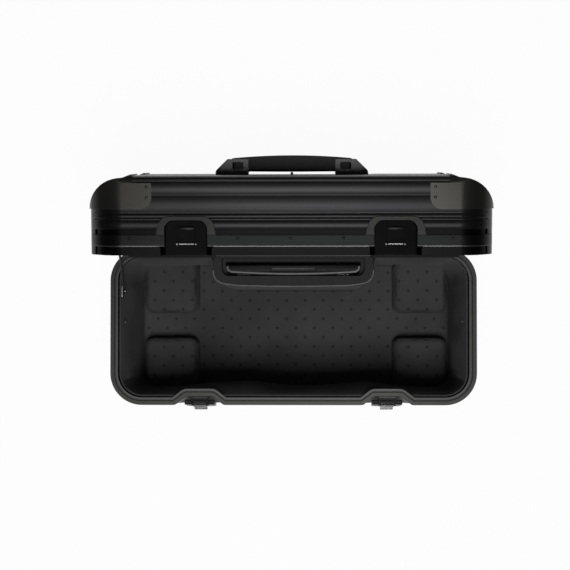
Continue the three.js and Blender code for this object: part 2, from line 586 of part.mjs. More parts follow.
// Pressed corner caps over the four upper corners of the lid.
function makeCorners() {
  const skin = cut(lidBody(GAP + CAP_T, 20), lidBody(GAP, 19));
  const x0 = HW - CAP_IN;
  for (const [end, ey] of [['front', -1], ['rear', 1]]) {
    for (const [side, s] of SIDES) {
      const face = roundedBox(s > 0 ? x0 : -WIDTH, s > 0 ? WIDTH : -x0, CAP_Z, 150,
        s > 0 ? [CAP_R, 0, 0, 0] : [0, CAP_R, 0, 0]);
      const y0 = HD - CAP_BACK;
      const flat = solid(alongY(face, ey > 0 ? y0 : -DEPTH, ey > 0 ? DEPTH : -y0, 4));
      const top = block(s > 0 ? HW - 50 : -WIDTH, s > 0 ? WIDTH : -HW + 50, -DEPTH, DEPTH,
        LID_HEIGHT - LID_FRONT_R - 4, 150);
      const front = join(block(-WIDTH, WIDTH, ey > 0 ? HD - 2 : -DEPTH, ey > 0 ? DEPTH : -HD + 2, 0,
        LID_HEIGHT - LID_FRONT_R), top, block(s > 0 ? HW - 46 : -WIDTH, s > 0 ? WIDTH : -HW + 46,
        -DEPTH, DEPTH, 0, 150));
      mesh(lidFrame, `lid_corner_${end}_${side}`, skin.intersect(flat).intersect(front), CAP_METAL);
    }
  }
}

// ------------------------------------------------------------- latches
function makeLatch(side, s) {
  const x = s * LATCH_X;
  // Bezel: a raised arch around the recess in the lid.
  const low = BEZEL_W_LOW / 2;
  const top = BEZEL_W_TOP / 2;
  const z0 = LID_FRAME_H + GAP;
  const arch = new THREE.Shape();
  arch.moveTo(x - low, z0).lineTo(x + low, z0);
  arch.bezierCurveTo(x + low - 2, z0 + 12, x + low - 4, RECESS_TOP + 4.6, x + top - 8, RECESS_TOP + 4.6);
  arch.lineTo(x - top + 8, RECESS_TOP + 4.6);
  arch.bezierCurveTo(x - low + 4, RECESS_TOP + 4.6, x - low + 2, z0 + 12, x - low, z0);
  const face = -HD - GAP;
  const bezel = cut(solid(alongY(arch, face - BEZEL_T, face, 8)),
    solid(alongY(roundedBox(x - RECESS_W / 2, x + RECESS_W / 2, -9, RECESS_TOP, [0, 0, 10, 10]),
      face - 9, face + 9, 5)));
  mesh(lidFrame, `latch_bezel_${side}`, bezel, CAP_METAL);

  // Keeper: a block on the recess floor with two cheeks that carry a bar.
  const back = -HD + POCKET_D - GAP;
  const w = KEEPER_W / 2;
  const barZ = 12.6;
  const barY = back - 2.2;
  const keeper = cut(join(
    block(x - w, x + w, back - 4, back, 18.5, 31.5),
    block(x - w, x - HOOK_W / 2 - GAP, back - 4, back, 10.6, 19),
    block(x + HOOK_W / 2 + GAP, x + w, back - 4, back, 10.6, 19),
    block(x - w - 5, x + w + 5, back - 1, back, 15.5, 30)),
  rod('x', 1.3 + GAP, x - w - 1, x + w + 1, [barY, barZ], 12));
  mesh(lidFrame, `latch_keeper_${side}`, keeper, BLACK_PLASTIC);
  mesh(lidFrame, `latch_bar_${side}`, join(rod('x', 1.3, x - w - 0.8, x + w + 0.8, [barY, barZ], 12),
    rod('x', 2.2, x - w - 1.6, x - w - GAP, [barY, barZ], 12),
    rod('x', 2.2, x + w + GAP, x + w + 1.6, [barY, barZ], 12)), STEEL);

  // Base bracket: a plate on the pocket floor with two ears for the pin.
  const pivotY = -HD + LEVER_PIVOT_IN;
  const pivotZ = RIM_Z + LEVER_PIVOT_Z;
  const ear = LEVER_W / 2 - 8;
  const plate = block(x - ear, x + ear, back - 1.6, back, pivotZ - 8, pivotZ + 6);
  const ears = [-1, 1].map((e) => solid(alongX(polygon([
    [back, -6], [pivotY - 2.4, -3.2], [pivotY - 2.4, 2.4], [back, 5],
  ]), x + e * (ear - 1) - 1, x + e * (ear - 1) + 1).translate(0, 0, pivotZ)));
  const pin = rod('x', 1.3, x - LEVER_W / 2 + 1.5, x + LEVER_W / 2 - 1.5, [pivotY, pivotZ], 12);
  mesh(root, `latch_bracket_${side}`, join(plate, ...ears, pin), FRAME_METAL);

  // Lever and hook, drawn closed about the pivot and swung open together.
  const swing = new THREE.Group();
  swing.position.set(x, pivotY, pivotZ);
  swing.rotation.x = THREE.MathUtils.degToRad(LEVER_OPEN);
  root.add(swing);
  const front = -LEVER_PIVOT_IN - 1;
  const halfW = LEVER_W / 2;
  const lug = solid(alongX(roundedBox(-2.6, 2.6, -2.6, 3.4, [2.4, 2.4, 0, 0]), -halfW, halfW, 2));
  const cover = solid(alongY(roundedBox(-halfW, halfW, -2.6, LEVER_LEN, [0, 0, 9, 9]), front, front + LEVER_T, 4))
    .intersect(solid(alongX(roundedBox(front, front + LEVER_T, -2.6, LEVER_LEN, [1.5, 0, 0, 2]), -halfW, halfW, 2)));
  const earSlots = [-1, 1].map((e) => block(e * (ear - 1) - 1.4, e * (ear - 1) + 1.4, front - 9, 9, -6, 6.5));
  const hookPivot = [1.6, 9.5];
  const hookLug = 9.6;
  const lugs = [-1, 1].map((e) => block(e * hookLug - 1.2, e * hookLug + 1.2, front + 1,
    hookPivot[0] + 1.8, hookPivot[1] - 2.4, hookPivot[1] + 2.4));
  const middle = block(-ear + 2.5, ear - 2.5, front + LEVER_T, 6, -6, 7);
  const lever = cut(join(cut(join(lug, cover), middle), ...lugs), ...earSlots,
    rod('x', 1.3 + PIN_PLAY, -halfW + 1.2, halfW - 1.2, [0, 0], 12),
    rod('x', 1 + PIN_PLAY, -hookLug - 3, hookLug + 3, hookPivot, 12));
  mesh(swing, `latch_lever_${side}`, lever, ANODISED);

  const hookHalf = HOOK_W / 2;
  const plateY = front + LEVER_T + GAP;
  const clawZ = barZ + 1.3 + GAP - LEVER_PIVOT_Z;
  const clawEnd = barY + 1 - pivotY;
  const hook = join(
    solid(alongX(polygon([[plateY + 0.9, hookPivot[1] - 2.4], [plateY + 3.6, hookPivot[1] - 2.4],
      [plateY + 3.6, hookPivot[1] + 2.4], [plateY + HOOK_T, hookPivot[1] + 5], [plateY + HOOK_T, clawZ],
      [clawEnd, clawZ], [clawEnd, clawZ + 2], [plateY, clawZ + 3], [plateY, hookPivot[1]]]),
      -hookHalf, hookHalf)),
    rod('x', 1, -hookLug - 1.2, hookLug + 1.2, hookPivot, 12));
  mesh(swing, `latch_hook_${side}`, hook, STEEL);
}

// -------------------------------------------------------- carry handle
function makeCarryHandle() {
  const z0 = LID_HEIGHT + GAP;
  const d = HANDLE_D / 2;
  const half = HANDLE_BASE_W / 2;
  const side = new THREE.Shape();
  const seatZ = LID_HEIGHT - HANDLE_INLAY;
  side.moveTo(-half, seatZ).lineTo(half, seatZ).lineTo(half, z0).lineTo(half - 1, z0 + 4.5);
  side.lineTo(BRACKET_OUT, z0 + BRACKET_H);
  side.lineTo(BRACKET_IN, z0 + BRACKET_H).lineTo(BRACKET_IN, LID_HEIGHT);
  side.lineTo(-BRACKET_IN, LID_HEIGHT).lineTo(-BRACKET_IN, z0 + BRACKET_H);
  side.lineTo(-BRACKET_OUT, z0 + BRACKET_H).lineTo(-half + 1, z0 + 4.5).lineTo(-half, z0);
  const middle = (BRACKET_IN + BRACKET_OUT) / 2;
  const cavity = (s) => block(s * (BRACKET_IN - 1), s * (BRACKET_OUT - 2.4), -d + 4, d - 4, z0 + 3, z0 + 99);
  const windows = SIDES.map(([, s]) => solid(alongY(roundedBox(s * middle - WINDOW[0] / 2,
    s * middle + WINDOW[0] / 2, z0 + 6.4, z0 + 6.4 + WINDOW[1], 1.6), -40, 40, 3)));
  const outline = solid(alongZ(roundedBox(-half, half, -d, d, 6), seatZ - 1, z0 + 40, 4));
  const post = block(-1.5, 1.5, -1.5, 1.5, LID_HEIGHT - 0.5, z0 + 2.6);
  const base = cut(join(solid(alongY(side, -d, d)).intersect(outline), post), cavity(-1), cavity(1), ...windows);
  mesh(lidFrame, 'carry_handle_base', base, FRAME_METAL);

  // Grip: lens-shaped in elevation, with a leg at each end in its bracket.
  const end = BRACKET_OUT - 4;
  const grip = new THREE.Shape();
  grip.moveTo(-end, z0 + GRIP_END_TOP - 6).lineTo(-end, z0 + GRIP_END_TOP - 2);
  grip.quadraticCurveTo(-end, z0 + GRIP_END_TOP, -end + 4, z0 + GRIP_END_TOP + 0.4);
  grip.quadraticCurveTo(0, z0 + GRIP_TOP + 3, end - 4, z0 + GRIP_END_TOP + 0.4);
  grip.quadraticCurveTo(end, z0 + GRIP_END_TOP, end, z0 + GRIP_END_TOP - 2);
  grip.lineTo(end, z0 + 3.6).quadraticCurveTo(0, z0 + GRIP_BELLY, -end, z0 + 3.6);
  const bar = solid(alongY(grip, -d + 4.4, d - 4.4, 10));
  const swell = solid(alongX(roundedBox(-d + 4.4, d - 4.4, z0 + 2.9, z0 + 40, 2.4), -100, 100, 3));
  const tall = solid(alongZ(roundedBox(-end, end, -d + 4.4, d - 4.4, 4), z0, z0 + 60, 3));
  mesh(lidFrame, 'carry_handle_grip', bar.intersect(tall).intersect(swell), BLACK_PLASTIC);
}

// ------------------------------------------------------------ lid stay
function makeStay() {
  const wall = -HW + LINING_IN + LINING_T;       // lined side wall
  const x0 = wall + GAP * 3;
  const x1 = x0 + STAY_T;
  const py = HD - STAY_PIVOT_Y;
  const pz = RIM_Z + STAY_PIVOT_Z;
  const bracket = join(solid(alongX(roundedBox(py - 9, py + 9, pz - 9, pz + 6, 3), x0, x1, 3)),
    rod('x', 2.4, x0, x1 + GAP * 2 + STAY_T + 0.8, [py, pz], 14));
  mesh(root, 'stay_bracket', bracket, STEEL);

  const arm = new THREE.Group();
  arm.position.set(0, py, pz);
  arm.rotation.x = THREE.MathUtils.degToRad(STAY_REST);
  root.add(arm);
  const half = STAY_W / 2;
  const strap = cut(solid(alongX(roundedBox(-half, STAY_LEN + half, -half, half, half - 0.01),
    x1 + GAP, x1 + GAP + STAY_T, 4)), rod('x', 2.4 + PIN_PLAY, -WIDTH, 0, [0, 0], 14));
  mesh(arm, 'stay_arm', strap, STEEL);

  const open = 46;                               // along the rim from the hinge
  const y1 = HINGE_Y - open;
  const y0 = HINGE_Y - 150;
  const track = cut(solid(alongX(roundedBox(y0, y1, TRACK_Z - 6, TRACK_Z + 6, 4), x0, x1, 3)),
    solid(alongX(roundedBox(y0 + 5, y1 - 4, TRACK_Z - 2.6, TRACK_Z + 2.6, 2.5), x0 - 1, x1 + 1, 3)));
  mesh(lidFrame, 'stay_track', track, STEEL);
}

makeBaseShell();
makeBaseFrame();
makeBaseLining();
for (const [name, x, y] of casterSpots) makeCaster(name, x, y);
makeTelescope();
makeHinges();
makeLid();
makeCorners();
for (const [side, s] of SIDES) makeLatch(side, s);
makeCarryHandle();
makeStay();

// Centre the open case over its origin.
group.updateMatrixWorld(true);
const bounds = new THREE.Box3().setFromObject(group, true);
group.position.y = -(bounds.min.y + bounds.max.y) / 2;

export default group;
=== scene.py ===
import json
import math

import bpy
from mathutils import Matrix, Vector, noise


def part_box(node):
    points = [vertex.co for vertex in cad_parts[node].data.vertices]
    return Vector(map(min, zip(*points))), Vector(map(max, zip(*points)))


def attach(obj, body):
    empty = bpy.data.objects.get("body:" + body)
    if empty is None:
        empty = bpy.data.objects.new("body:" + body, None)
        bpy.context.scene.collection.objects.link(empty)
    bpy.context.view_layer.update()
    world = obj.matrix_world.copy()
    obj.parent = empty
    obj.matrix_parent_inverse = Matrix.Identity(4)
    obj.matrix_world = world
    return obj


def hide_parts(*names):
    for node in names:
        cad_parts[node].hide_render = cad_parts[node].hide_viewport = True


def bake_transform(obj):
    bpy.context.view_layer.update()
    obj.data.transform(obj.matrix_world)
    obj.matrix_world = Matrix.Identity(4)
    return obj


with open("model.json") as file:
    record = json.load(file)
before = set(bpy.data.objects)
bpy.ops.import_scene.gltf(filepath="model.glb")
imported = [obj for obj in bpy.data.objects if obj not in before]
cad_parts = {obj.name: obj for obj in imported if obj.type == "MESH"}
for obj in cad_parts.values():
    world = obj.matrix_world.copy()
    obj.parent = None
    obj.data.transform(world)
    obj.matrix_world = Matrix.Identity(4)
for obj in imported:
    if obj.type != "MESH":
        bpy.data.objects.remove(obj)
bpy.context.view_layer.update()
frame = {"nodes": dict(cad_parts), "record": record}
BODY_OF = {
    node: body
    for body, nodes in frame["record"]["behaviour"]["bodies"].items()
    for node in nodes
}
SLOT_OF = {
    row["node"]: row["material_slot"] for row in frame["record"]["subparts"]
}

# ------------------------------------------------------------ shared sizes
MM = 0.001
RIM_Z = 0.2887  # top face of the base rim
HINGE = Vector((0, 0.051703, RIM_Z))
BACK_Y = 0.0477  # back face of the base
FRONT_Y = -0.1443  # front face of the base
MIDDLE_Y = (BACK_Y + FRONT_Y) / 2
HALF_W = 0.225
LATCH_X = 0.1155
OPEN_ANGLE = math.radians(84)
# Takes a place on the shut lid to where it stands with the lid open.
LID_POSE = (
    Matrix.Translation(HINGE)
    @ Matrix.Rotation(-OPEN_ANGLE, 4, "X")
    @ Matrix.Translation(-HINGE)
)
LID_UP = Vector((0, math.sin(OPEN_ANGLE), math.cos(OPEN_ANGLE)))
SIDES = (("left", -1), ("right", 1))


# ------------------------------------------------------------- bench tools
def only(*objs):
    """Selects these objects and nothing else; the first is the active one."""
    if bpy.context.object and bpy.context.object.mode != "OBJECT":
        bpy.ops.object.mode_set(mode="OBJECT")
    bpy.ops.object.select_all(action="DESELECT")
    for obj in objs:
        obj.select_set(True)
    bpy.context.view_layer.objects.active = objs[0]
    return objs[0]


def pick(obj, kind, test):
    """Opens obj for editing with only the faces, edges or points that pass."""
    only(obj)
    bpy.ops.object.mode_set(mode="EDIT")
    bpy.ops.mesh.select_mode(type=kind)
    bpy.ops.mesh.select_all(action="DESELECT")
    bpy.ops.object.mode_set(mode="OBJECT")
    mesh = obj.data
    if kind == "FACE":
        for face in mesh.polygons:
            face.select = test(face.center, face.normal)
    elif kind == "EDGE":
        for edge in mesh.edges:
            edge.select = test(*(mesh.vertices[i].co for i in edge.vertices))
    else:
        for vertex in mesh.vertices:
            vertex.select = test(vertex.co)
    bpy.ops.object.mode_set(mode="EDIT")


def pick_all(obj):
    only(obj)
    bpy.ops.object.mode_set(mode="EDIT")
    bpy.ops.mesh.select_mode(type="FACE")
    bpy.ops.mesh.select_all(action="SELECT")


def shut(obj):
    """Leaves edit mode."""
    bpy.ops.object.mode_set(mode="OBJECT")
    return obj


def turned_out(obj):
    """Merges doubles and points every face outwards."""
    pick_all(obj)
    bpy.ops.mesh.remove_doubles(threshold=1e-5)
    bpy.ops.mesh.normals_make_consistent(inside=False)
    return shut(obj)


def settled(obj):
    """Puts the object's place, turn and scale into its mesh."""
    only(obj)
    bpy.ops.object.transform_apply(location=True, rotation=True, scale=True)
    return obj


def block(name, low, high):
    """A box between two corners, as a start for shaping."""
    low, high = Vector(low), Vector(high)
    bpy.ops.object.select_all(action="DESELECT")
    bpy.ops.mesh.primitive_cube_add(size=1, location=(low + high) / 2)
    obj = bpy.context.object
    obj.name = name
    obj.scale = high - low
    return settled(obj)


def disc(name, radius, depth, place, turn=(0, 0, 0), sides=24):
    """A round blank, as a start for shaping."""
    bpy.ops.object.select_all(action="DESELECT")
    bpy.ops.mesh.primitive_cylinder_add(
        vertices=sides, radius=radius, depth=depth, location=place, rotation=turn
    )
    obj = bpy.context.object
    obj.name = name
    return settled(obj)


def modified(obj, kind, **settings):
    """Adds a modifier and applies it."""
    only(obj)
    bpy.ops.object.modifier_add(type=kind)
    modifier = obj.modifiers[-1]
    for key, value in settings.items():
        setattr(modifier, key, value)
    bpy.ops.object.modifier_apply(modifier=modifier.name)
    return obj


def softened(obj, width, segments=2, angle=34):
    """Rounds every edge sharper than the angle, then shades the faces."""
    modified(
        obj,
        "BEVEL",
        width=width,
        segments=segments,
        limit_method="ANGLE",
        angle_limit=math.radians(angle),
        use_clamp_overlap=True,
        harden_normals=False,
    )
    only(obj)
    bpy.ops.object.shade_smooth_by_angle(angle=math.radians(angle))
    return obj


def copied(obj, name, move=(0, 0, 0), matrix=None):
    """A copy with its own mesh, moved or turned in the mesh."""
    twin = bpy.data.objects.new(name, obj.data.copy())
    bpy.context.scene.collection.objects.link(twin)
    twin.matrix_world = matrix or Matrix.Translation(move)
    settled(twin)
    if matrix is not None and matrix.determinant() < 0:
        turned_out(twin)
    return twin


def on_lid(obj):
    """Swings a piece modelled on the shut lid up to the open lid."""
    obj.matrix_world = LID_POSE
    return settled(obj)


def fitted(obj, body, finish):
    """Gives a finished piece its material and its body."""
    obj.data.materials.clear()
    obj.data.materials.append(finish.material)
    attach(obj, body)
    return obj


# --------------------------------------------------------------- finishes
class Value:
    """A shader number: arithmetic on it adds the Math nodes it needs."""

    def __init__(self, finish, socket):
        self.finish, self.socket = finish, socket

    def math(self, operation, *others):
        inputs = dict(enumerate((self, *others)))
        return self.finish.node("ShaderNodeMath", {"operation": operation}, inputs)

    def swapped(self, operation, other):
        return self.finish.node(
            "ShaderNodeMath", {"operation": operation}, {0: other, 1: self}
        )

    def __add__(self, other):
        return self.math("ADD", other)

    def __sub__(self, other):
        return self.math("SUBTRACT", other)

    def __mul__(self, other):
        return self.math("MULTIPLY", other)

    def __truediv__(self, other):
        return self.math("DIVIDE", other)

    def __lt__(self, other):
        return self.math("LESS_THAN", other)

    def __gt__(self, other):
        return self.math("GREATER_THAN", other)

    def __rsub__(self, other):
        return self.swapped("SUBTRACT", other)

    def __abs__(self):
        return self.math("ABSOLUTE")

    __radd__ = __add__
    __rmul__ = __mul__

    def sine(self):
        return self.math("SINE")

    def whole(self):
        """Distance from the middle of its repeat, for a pattern of pitch 1."""
        return abs(self.math("FRACT") - 0.5)

    def ramp(self, low, high):
        """0 below low, 1 above high, smooth between."""
        return self.finish.node(
            "ShaderNodeMapRange",
            {"interpolation_type": "SMOOTHSTEP"},
            {"Value": self, "From Min": low, "From Max": high},
        )


class Finish:
    """A node material, with what differs over the surface fed in by value."""

    def __init__(self, name, **constants):
        self.material = bpy.data.materials.new(name)
        self.material.use_nodes = True
        self.tree = self.material.node_tree
        self.shader = self.tree.nodes["Principled BSDF"]
        for key, value in constants.items():
            socket = key.replace("_", " ").title().replace("Ior", "IOR")
            self.shader.inputs[socket].default_value = value
        self.place = self.node("ShaderNodeTexCoord", output="Object")

    def node(self, kind, settings=None, inputs=None, output=0):
        made = self.tree.nodes.new(kind)
        for key, value in (settings or {}).items():
            setattr(made, key, value)
        for key, value in (inputs or {}).items():
            self.feed(made.inputs[key], value)
        return Value(self, made.outputs[output])

    def feed(self, socket, value):
        if isinstance(value, Value):
            self.tree.links.new(value.socket, socket)
        else:
            socket.default_value = value

    def show(self, **inputs):
        for key, value in inputs.items():
            self.feed(self.shader.inputs[key.replace("_", " ").title()], value)
        return self

    def stretched(self, scale):
        return self.node(
            "ShaderNodeMapping", inputs={"Vector": self.place, "Scale": scale}
        )

    def grain(self, scale, detail=4, stretch=None, roughness=0.55):
        vector = self.stretched(stretch) if stretch else self.place
        inputs = {"Vector": vector, "Scale": scale, "Detail": detail, "Roughness": roughness}
        return self.node("ShaderNodeTexNoise", inputs=inputs)

    def along(self, direction, origin=(0, 0, 0)):
        """Distance from the origin along a direction, in metres."""
        moved = self.node(
            "ShaderNodeVectorMath", {"operation": "SUBTRACT"}, {0: self.place, 1: origin}
        )
        return self.node(
            "ShaderNodeVectorMath",
            {"operation": "DOT_PRODUCT"},
            {0: moved, 1: direction},
            output="Value",
        )

    def colour(self, amount, low, high):
        return self.node(
            "ShaderNodeMix",
            {"data_type": "RGBA"},
            {0: amount, 6: (*low, 1), 7: high if isinstance(high, Value) else (*high, 1)},
            output=2,
        )

    def over(self, amount, low, high):
        """Mixes two colours that are already in the tree."""
        return self.node(
            "ShaderNodeMix", {"data_type": "RGBA"}, {0: amount, 6: low, 7: high}, output=2
        )

    def facing(self, axis):
        """How far the surface faces along an axis."""
        normal = self.node("ShaderNodeNewGeometry", output="Normal")
        return self.node(
            "ShaderNodeVectorMath",
            {"operation": "DOT_PRODUCT"},
            {0: normal, 1: axis},
            output="Value",
        )

    def bumped(self, height, distance, strength=1.0, under=None):
        inputs = {"Strength": strength, "Distance": distance, "Height": height}
        if under is not None:
            inputs["Normal"] = under
        return self.node("ShaderNodeBump", inputs=inputs)


def metal(name, dark, light, roughness, metallic=0.8, brush=(6, 900, 900), depth=0.00003):
    """Drawn or rolled metal: fine brushing, slight clouding."""
    finish = Finish(name, metallic=metallic, specular_ior_level=0.06)
    clouds = finish.grain(9, 3)
    brushing = finish.grain(1, 2, stretch=brush)
    finish.show(
        base_color=finish.colour(clouds.ramp(0.3, 0.7), dark, light),
        roughness=roughness - 0.05 + 0.07 * brushing + 0.05 * clouds,
        normal=finish.bumped(brushing, depth, 0.5),
    )
    return finish


def moulded(name, dark, light, roughness, pebble=900, depth=0.00008, specular=0.3):
    """Moulded plastic or coated metal with a fine pebbled surface."""
    finish = Finish(name, specular_ior_level=specular)
    clouds = finish.grain(14, 3)
    pebbles = finish.grain(pebble, 2)
    finish.show(
        base_color=finish.colour(clouds.ramp(0.3, 0.7), dark, light),
        roughness=roughness + 0.08 * pebbles,
        normal=finish.bumped(pebbles, depth, 0.6),
    )
    return finish


def weave(finish, pitch):
    """Height of a plain weave, from the thread directions on any face."""
    x = finish.along((1, 0, 0)) * (math.tau / pitch)
    y = finish.along((0, 1, 0)) * (math.tau / pitch)
    z = finish.along((0, 0, 1)) * (math.tau / pitch)
    return (x.sine() * y.sine() + y.sine() * z.sine() + x.sine() * z.sine()) * 0.5


def woven(name, dark, light, diamonds=False):
    """Lining fabric, with the small quilted diamonds where it lies flat."""
    finish = Finish(name, sheen_weight=0.04, sheen_roughness=0.5, specular_ior_level=0.12)
    clouds = finish.grain(11, 4)
    fuzz = finish.grain(1400, 2)
    threads = weave(finish, 0.0016)
    colour = finish.colour(clouds.ramp(0.3, 0.7), dark, light)
    height = threads * 0.5 + fuzz * 0.5
    if diamonds:
        pitch = 0.0258
        u = finish.along((1, 0, 0)) / pitch
        v = finish.along((0, 1, 0)) / pitch
        spots = None
        for shift in (0, 0.5):
            spread = (u + shift).whole() + (v + shift).whole()
            spot = 1 - spread.ramp(0.06, 0.13)
            spots = spot if spots is None else spots.math("MAXIMUM", spot)
        spots = spots * finish.facing((0, 0, 1)).ramp(0.55, 0.75)
        colour = finish.over(spots * 0.55, colour, (0.0035, 0.0035, 0.0037, 1))
        height = height * 0.25 - spots * 3
    finish.show(
        base_color=colour,
        roughness=0.82 + 0.12 * fuzz,
        normal=finish.bumped(height, 0.0002, 0.7),
    )
    return finish


def lid_rail():
    """Satin rail of the lid, with its set-back lip in a darker tone and a painted highlight along the
    edge just above the lip.
    """
    finish = Finish("lid_rail", metallic=0.85, specular_ior_level=0.04)
    clouds = finish.grain(9, 3)
    brushing = finish.grain(1, 2, stretch=(6, 900, 900))
    height = finish.along(LID_UP, HINGE) / MM
    lip = finish.colour(clouds.ramp(0.3, 0.7), (0.0020, 0.0020, 0.0020), (0.0029, 0.0029, 0.0029))
    band = finish.colour(clouds.ramp(0.3, 0.7), (0.0049, 0.0053, 0.0050), (0.0062, 0.0066, 0.0063))
    # Painted highlight: the strip where the band meets the lip is drawn much brighter.
    edge = finish.colour(height.ramp(9.7, 10.3), (0.013, 0.013, 0.013), (0.055, 0.055, 0.055))
    band_with_painted_highlight = finish.over((height > 11.0), edge, band)
    finish.show(
        base_color=finish.over((height > 9.6), lip, band_with_painted_highlight),
        roughness=0.36 + 0.07 * brushing + 0.05 * clouds,
        normal=finish.bumped(brushing, 0.00003, 0.5),
    )
    return finish


def ribbed_shell():
    """Dark anodised sheet; on the lid each rib swells between its grooves. Each band is painted lighter
    or darker as a painted reflection of the light it catches, and a near-black band below the ribs is
    painted shade in the recess between the shell and the rail.
    """
    finish = Finish("anodised_sheet", metallic=0.85, specular_ior_level=0.04)
    clouds = finish.grain(8, 3)
    brushing = finish.grain(1, 2, stretch=(5, 700, 700))
    height = finish.along(LID_UP, HINGE) / MM
    swell = None
    painted_band_light = None
    # Painted reflection: each band's share of the pale tone rises or falls across it, as the light it
    # catches would.
    for low, high, near, far in (
        (28.9, 39.2, 0.30, 0.16),
        (40.5, 46.6, 0.34, 0.30),
        (47.9, 66.1, 0.02, 0.24),
        (67.4, 81.6, 0.72, 0.95),
        (83.1, 88.0, 0.42, 0.30),
    ):
        share = (height - low) / (high - low)
        inside = (share > 0) * (share < 1)
        arch = share * (1 - share) * 4 * inside
        tone = inside * (near + (far - near) * share)
        swell = arch if swell is None else swell + arch
        painted_band_light = tone if painted_band_light is None else painted_band_light + tone
    dark = finish.colour(clouds.ramp(0.3, 0.7), (0.0095, 0.0095, 0.010), (0.012, 0.012, 0.0125))
    pale = finish.colour(clouds.ramp(0.3, 0.7), (0.0113, 0.0113, 0.0117), (0.0137, 0.0137, 0.0141))
    # Painted shade: near black in the set-back recess between the shell and the rail.
    painted_groove_shade = (height > 22.0) * (height < 28.9)
    dark = finish.over(painted_groove_shade, dark, (0.002, 0.002, 0.002, 1))
    # Base colour: the painted reflection bands over the dark sheet.
    finish.show(
        base_color=finish.over(painted_band_light, dark, pale),
        roughness=0.34 + 0.07 * brushing + 0.05 * clouds,
        normal=finish.bumped(
            brushing, 0.00003, 0.5, under=finish.bumped(swell, 0.0012, 0.8)
        ),
    )
    return finish


SHEET = ribbed_shell()
BASE_SHEET = metal("anodised_base", (0.022, 0.022, 0.023), (0.029, 0.029, 0.030), 0.36)
RAIL = metal("satin_rail", (0.0164, 0.0171, 0.0162), (0.0215, 0.0221, 0.0209), 0.4)
# Painted highlight: lighter colour for the rim's rounded inner bead.
BEAD_HIGHLIGHT = metal("bead_painted_highlight", (0.0256, 0.0256, 0.0256), (0.0341, 0.0341, 0.0341), 0.42)
CAP = metal("corner_cap", (0.0167, 0.0164, 0.0145), (0.0229, 0.0220, 0.0194), 0.32, 0.6)
LATCH = metal("latch_black", (0.016, 0.016, 0.016), (0.024, 0.024, 0.024), 0.34, 0.6)
TRIM = metal("latch_trim", (0.0075, 0.0075, 0.0073), (0.0105, 0.0105, 0.0102), 0.4)
STEEL = metal("plated_steel", (0.1, 0.1, 0.1), (0.16, 0.16, 0.16), 0.3, 0.95)
PLASTIC = moulded("moulded_black", (0.006, 0.006, 0.006), (0.010, 0.010, 0.010), 0.44, specular=0.1)
PLATE = moulded("moulded_plate", (0.0088, 0.0088, 0.0088), (0.0116, 0.0116, 0.0116), 0.5, specular=0.12)
GRIP = moulded("grip_black", (0.0009, 0.0009, 0.0009), (0.0016, 0.0016, 0.0016), 0.36, specular=0.06)
RUBBER = moulded("tyre_rubber", (0.016, 0.016, 0.016), (0.024, 0.024, 0.024), 0.68, 500)
WALL_CLOTH = woven("lining_cloth", (0.0397, 0.0397, 0.0404), (0.0546, 0.0546, 0.0553), True)
LID_CLOTH = woven("lid_cloth", (0.022, 0.022, 0.0225), (0.030, 0.030, 0.0305))
STRAP = woven("gusset_cloth", (0.012, 0.012, 0.012), (0.018, 0.018, 0.018))
LID_RAIL = lid_rail()
# Bright strips: piping along the flange, the button's edge line, and a painted highlight along the
# grip's front edge.
PIPING_AND_HIGHLIGHT = moulded("piping_and_painted_highlight", (0.085, 0.085, 0.085), (0.12, 0.12, 0.12), 0.3)
# Painted shade: near black and barely reflecting, for what sits deep in the latch recesses.
PAINTED_RECESS_SHADE = moulded("recess_painted_shade", (0.002, 0.002, 0.002), (0.004, 0.004, 0.004), 0.6, specular=0.03)

FINISH_OF = {
    "shell": BASE_SHEET,
    "frame": RAIL,
    "cap": CAP,
    "plastic": PLASTIC,
    "steel": STEEL,
    "cloth": LID_CLOTH,
    "tyre": RUBBER,
}
OWN_FINISH = {
    "lid_shell": SHEET,
    "lid_frame": LID_RAIL,
    "carry_handle_base": LATCH,
    # The latch keepers take the painted recess shade.
    "latch_keeper_left": PAINTED_RECESS_SHADE,
    "latch_keeper_right": PAINTED_RECESS_SHADE,
    "tele_housing": PLATE,
    "latch_bezel_left": TRIM,
    "latch_bezel_right": TRIM,
    "latch_lever_left": LATCH,
    "latch_lever_right": LATCH,
    "carry_handle_grip": GRIP,
    "tele_grip": GRIP,
}


# ---------------------------------------------- hard pieces from the frame
def dressed(node, width=0.0005, segments=2, angle=34):
    """The node's own shape as one clean mesh with softly rounded edges."""
    source = frame["nodes"][node]
    obj = bpy.data.objects.new(node + "_made", source.data.copy())
    bpy.context.scene.collection.objects.link(obj)
    pick_all(obj)
    bpy.ops.mesh.remove_doubles(threshold=1e-5)
    bpy.ops.mesh.dissolve_limited(angle_limit=math.radians(0.6))
    shut(obj)
    softened(obj, width, segments, angle)
    modified(obj, "WEIGHTED_NORMAL", keep_sharp=True)
    slot = SLOT_OF[node]
    fitted(obj, BODY_OF[node], OWN_FINISH.get(node, FINISH_OF[slot]))
    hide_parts(node)
    return obj


BEVELS = {
    "base_shell": 0.0006,
    "lid_shell": 0.0006,
    "tele_grip": 0.0009,
    "carry_handle_grip": 0.0009,
    "lid_corner_front_left": 0.0004,
}
for node in sorted(frame["nodes"]):
    if node in ("base_lining", "lid_lining"):
        continue
    dressed(node, BEVELS.get(node, 0.0004))


# ------------------------------------------------------------------- lining
LINER_X = 0.2132
LINER_BACK = 0.0365
LINER_FRONT = -0.1325
LINER_TOP = 0.2840
FLOOR_Z = 0.0227
COLUMN_X = 0.1005
COLUMN_Y = 0.0016
LINER_R = 0.0272
COVER_HALF = 0.0366  # caster covers, middle to side
COVER_TOP = 0.0672


